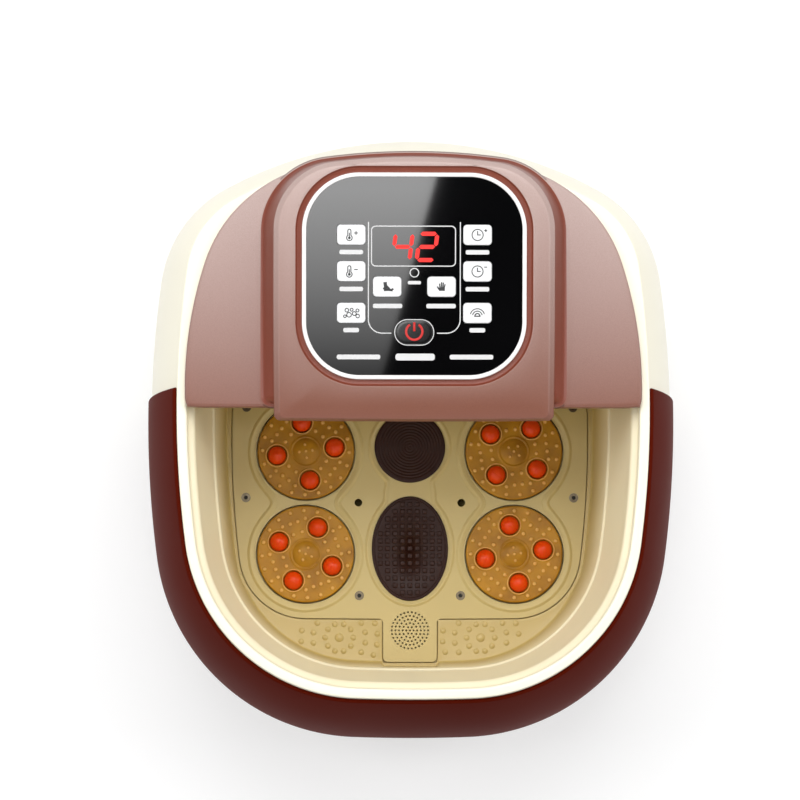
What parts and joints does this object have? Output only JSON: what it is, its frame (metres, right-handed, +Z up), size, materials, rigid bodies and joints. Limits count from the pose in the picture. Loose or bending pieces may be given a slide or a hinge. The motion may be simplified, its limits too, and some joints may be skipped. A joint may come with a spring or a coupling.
{
  "type": "foot spa basin",
  "caption": "Heated foot bath: a deep oval tub with turning massage discs in its floor, and a hooded control head over the back.",
  "frame": {"origin": "on the surface it stands on, under the middle of its length and width", "axes": "+Z up, +Y from the open front towards the control head at the back, +X to the right of someone facing the control head from the front"},
  "size_m": [0.422, 0.478, 0.2854],
  "materials": {
    "casing_cream": "moulded ABS, polished",
    "basin_cream": "moulded polypropylene, satin",
    "band_brown": "moulded ABS, polished",
    "base_grey": "moulded, fine texture",
    "screw_steel": "stainless",
    "foot_rubber": "moulded",
    "floor_beige": "moulded, satin",
    "insert_brown": "moulded, satin",
    "disc_amber": "translucent, moulded",
    "roller_orange": "moulded",
    "gear_acetal": "moulded acetal",
    "hood_mauve": "moulded ABS with a pearl paint",
    "bezel_white": "polished",
    "panel_black": "back-printed acrylic",
    "key_white": "moulded",
    "board_green": "circuit board",
    "motor_steel": "plated",
    "pump_black": "moulded",
    "hose_silicone": "silicone"
  },
  "bodies": {
    "root": {"air_pump": "pump_black", "base_plate": "base_grey", "base_screws": "screw_steel", "basin": "basin_cream", "control_board": "board_green", "control_glass": "panel_black", "floor_panel": "floor_beige", "floor_screws": "screw_steel", "front_band": "band_brown", "heater": "motor_steel", "herb_box": "insert_brown", "hood": "hood_mauve", "hood_tray": "hood_mauve", "hoses": "hose_silicone", "infrared_lamp": "board_green", "infrared_lens": "insert_brown", "mains_inlet": "pump_black", "massage_motors": "motor_steel", "outer_casing": "casing_cream", "panel_bezel": "bezel_white", "power_board": "board_green", "rubber_feet": "foot_rubber", "shaft_seals": "foot_rubber", "water_pump": "pump_black"},
    "disc_rear_left": {"massage_disc_rear_left": "disc_amber", "disc_gear_rear_left": "gear_acetal"},
    "roller_rear_left_1": {"roller_rear_left_1": "roller_orange"},
    "roller_rear_left_2": {"roller_rear_left_2": "roller_orange"},
    "roller_rear_left_3": {"roller_rear_left_3": "roller_orange"},
    "roller_rear_left_4": {"roller_rear_left_4": "roller_orange"},
    "disc_rear_right": {"massage_disc_rear_right": "disc_amber", "disc_gear_rear_right": "gear_acetal"},
    "roller_rear_right_1": {"roller_rear_right_1": "roller_orange"},
    "roller_rear_right_2": {"roller_rear_right_2": "roller_orange"},
    "roller_rear_right_3": {"roller_rear_right_3": "roller_orange"},
    "roller_rear_right_4": {"roller_rear_right_4": "roller_orange"},
    "disc_front_left": {"massage_disc_front_left": "disc_amber", "disc_gear_front_left": "gear_acetal"},
    "roller_front_left_1": {"roller_front_left_1": "roller_orange"},
    "roller_front_left_2": {"roller_front_left_2": "roller_orange"},
    "roller_front_left_3": {"roller_front_left_3": "roller_orange"},
    "roller_front_left_4": {"roller_front_left_4": "roller_orange"},
    "disc_front_right": {"massage_disc_front_right": "disc_amber", "disc_gear_front_right": "gear_acetal"},
    "roller_front_right_1": {"roller_front_right_1": "roller_orange"},
    "roller_front_right_2": {"roller_front_right_2": "roller_orange"},
    "roller_front_right_3": {"roller_front_right_3": "roller_orange"},
    "roller_front_right_4": {"roller_front_right_4": "roller_orange"},
    "drive_pinion_left": {"drive_pinion_left": "gear_acetal"},
    "drive_pinion_right": {"drive_pinion_right": "gear_acetal"},
    "key_bubbles": {"key_bubbles": "key_white"},
    "key_light": {"key_light": "key_white"},
    "key_massage": {"key_massage": "key_white"},
    "key_power": {"key_power": "panel_black"},
    "key_preset": {"key_preset": "key_white"},
    "key_temperature_down": {"key_temperature_down": "key_white"},
    "key_temperature_up": {"key_temperature_up": "key_white"},
    "key_time_down": {"key_time_down": "key_white"},
    "key_time_up": {"key_time_up": "key_white"},
    "herb_box_lid": {"herb_box_lid": "insert_brown"}
  },
  "joints": [
    {"name": "disc_rear_left_spin", "type": "hinge", "parent": "root", "child": "disc_rear_left", "pos_m": [-0.0848, -0.0083, 0.07], "axis": [0, 0, 1], "continuous": true},
    {"name": "roller_rear_left_1_roll", "type": "hinge", "parent": "disc_rear_left", "child": "roller_rear_left_1", "pos_m": [-0.06133, -0.005, 0.078], "axis": [0.9903, 0.1392, 0], "continuous": true},
    {"name": "roller_rear_left_2_roll", "type": "hinge", "parent": "disc_rear_left", "child": "roller_rear_left_2", "pos_m": [-0.0881, 0.01517, 0.078], "axis": [-0.1392, 0.9903, 0], "continuous": true},
    {"name": "roller_rear_left_3_roll", "type": "hinge", "parent": "disc_rear_left", "child": "roller_rear_left_3", "pos_m": [-0.10827, -0.0116, 0.078], "axis": [-0.9903, -0.1392, 0], "continuous": true},
    {"name": "roller_rear_left_4_roll", "type": "hinge", "parent": "disc_rear_left", "child": "roller_rear_left_4", "pos_m": [-0.0815, -0.03177, 0.078], "axis": [0.1392, -0.9903, 0], "continuous": true},
    {"name": "disc_rear_right_spin", "type": "hinge", "parent": "root", "child": "disc_rear_right", "pos_m": [0.0848, -0.0083, 0.07], "axis": [0, 0, 1], "continuous": true},
    {"name": "roller_rear_right_1_roll", "type": "hinge", "parent": "disc_rear_right", "child": "roller_rear_right_1", "pos_m": [0.09906, 0.01063, 0.078], "axis": [0.6018, 0.7986, 0], "continuous": true},
    {"name": "roller_rear_right_2_roll", "type": "hinge", "parent": "disc_rear_right", "child": "roller_rear_right_2", "pos_m": [0.06587, 0.00596, 0.078], "axis": [-0.7986, 0.6018, 0], "continuous": true},
    {"name": "roller_rear_right_3_roll", "type": "hinge", "parent": "disc_rear_right", "child": "roller_rear_right_3", "pos_m": [0.07054, -0.02723, 0.078], "axis": [-0.6018, -0.7986, 0], "continuous": true},
    {"name": "roller_rear_right_4_roll", "type": "hinge", "parent": "disc_rear_right", "child": "roller_rear_right_4", "pos_m": [0.10373, -0.02256, 0.078], "axis": [0.7986, -0.6018, 0], "continuous": true},
    {"name": "disc_front_left_spin", "type": "hinge", "parent": "root", "child": "disc_front_left", "pos_m": [-0.0848, -0.092, 0.07], "axis": [0, 0, 1], "continuous": true},
    {"name": "roller_front_left_1_roll", "type": "hinge", "parent": "disc_front_left", "child": "roller_front_left_1", "pos_m": [-0.07497, -0.07043, 0.078], "axis": [0.4147, 0.91, 0], "continuous": true},
    {"name": "roller_front_left_2_roll", "type": "hinge", "parent": "disc_front_left", "child": "roller_front_left_2", "pos_m": [-0.10637, -0.08217, 0.078], "axis": [-0.91, 0.4147, 0], "continuous": true},
    {"name": "roller_front_left_3_roll", "type": "hinge", "parent": "disc_front_left", "child": "roller_front_left_3", "pos_m": [-0.09463, -0.11357, 0.078], "axis": [-0.4147, -0.91, 0], "continuous": true},
    {"name": "roller_front_left_4_roll", "type": "hinge", "parent": "disc_front_left", "child": "roller_front_left_4", "pos_m": [-0.06323, -0.10183, 0.078], "axis": [0.91, -0.4147, 0], "continuous": true},
    {"name": "disc_front_right_spin", "type": "hinge", "parent": "root", "child": "disc_front_right", "pos_m": [0.0848, -0.092, 0.07], "axis": [0, 0, 1], "continuous": true},
    {"name": "roller_front_right_1_roll", "type": "hinge", "parent": "disc_front_right", "child": "roller_front_right_1", "pos_m": [0.10823, -0.08842, 0.078], "axis": [0.9885, 0.1513, 0], "continuous": true},
    {"name": "roller_front_right_2_roll", "type": "hinge", "parent": "disc_front_right", "child": "roller_front_right_2", "pos_m": [0.08122, -0.06857, 0.078], "axis": [-0.1513, 0.9885, 0], "continuous": true},
    {"name": "roller_front_right_3_roll", "type": "hinge", "parent": "disc_front_right", "child": "roller_front_right_3", "pos_m": [0.06137, -0.09558, 0.078], "axis": [-0.9885, -0.1513, 0], "continuous": true},
    {"name": "roller_front_right_4_roll", "type": "hinge", "parent": "disc_front_right", "child": "roller_front_right_4", "pos_m": [0.08838, -0.11543, 0.078], "axis": [0.1513, -0.9885, 0], "continuous": true},
    {"name": "pinion_left_spin", "type": "hinge", "parent": "root", "child": "drive_pinion_left", "pos_m": [-0.0848, -0.05015, 0.06], "axis": [0, 0, 1], "continuous": true},
    {"name": "pinion_right_spin", "type": "hinge", "parent": "root", "child": "drive_pinion_right", "pos_m": [0.0848, -0.05015, 0.06], "axis": [0, 0, 1], "continuous": true},
    {"name": "key_bubbles_press", "type": "slide", "parent": "root", "child": "key_bubbles", "axis": [0, 0.1392, -0.9903], "range_m": [0, 0.0006], "stiffness_N_per_m": 900, "springref_m": -0.0006},
    {"name": "key_light_press", "type": "slide", "parent": "root", "child": "key_light", "axis": [0, 0.1392, -0.9903], "range_m": [0, 0.0006], "stiffness_N_per_m": 900, "springref_m": -0.0006},
    {"name": "key_massage_press", "type": "slide", "parent": "root", "child": "key_massage", "axis": [0, 0.1392, -0.9903], "range_m": [0, 0.0006], "stiffness_N_per_m": 900, "springref_m": -0.0006},
    {"name": "key_power_press", "type": "slide", "parent": "root", "child": "key_power", "axis": [0, 0.1392, -0.9903], "range_m": [0, 0.0006], "stiffness_N_per_m": 900, "springref_m": -0.0006},
    {"name": "key_preset_press", "type": "slide", "parent": "root", "child": "key_preset", "axis": [0, 0.1392, -0.9903], "range_m": [0, 0.0006], "stiffness_N_per_m": 900, "springref_m": -0.0006},
    {"name": "key_temperature_down_press", "type": "slide", "parent": "root", "child": "key_temperature_down", "axis": [0, 0.1392, -0.9903], "range_m": [0, 0.0006], "stiffness_N_per_m": 900, "springref_m": -0.0006},
    {"name": "key_temperature_up_press", "type": "slide", "parent": "root", "child": "key_temperature_up", "axis": [0, 0.1392, -0.9903], "range_m": [0, 0.0006], "stiffness_N_per_m": 900, "springref_m": -0.0006},
    {"name": "key_time_down_press", "type": "slide", "parent": "root", "child": "key_time_down", "axis": [0, 0.1392, -0.9903], "range_m": [0, 0.0006], "stiffness_N_per_m": 900, "springref_m": -0.0006},
    {"name": "key_time_up_press", "type": "slide", "parent": "root", "child": "key_time_up", "axis": [0, 0.1392, -0.9903], "range_m": [0, 0.0006], "stiffness_N_per_m": 900, "springref_m": -0.0006},
    {"name": "herb_box_lid_lift", "type": "slide", "parent": "root", "child": "herb_box_lid", "axis": [0, 0, 1], "range_m": [0, 0.2]}
  ],
  "couplings": [
    {"joint": "pinion_left_spin", "follows": "disc_front_left_spin", "ratio": -2.3333},
    {"joint": "disc_rear_left_spin", "follows": "disc_front_left_spin", "ratio": 1},
    {"joint": "pinion_right_spin", "follows": "disc_front_right_spin", "ratio": -2.3333},
    {"joint": "disc_rear_right_spin", "follows": "disc_front_right_spin", "ratio": 1}
  ]
}
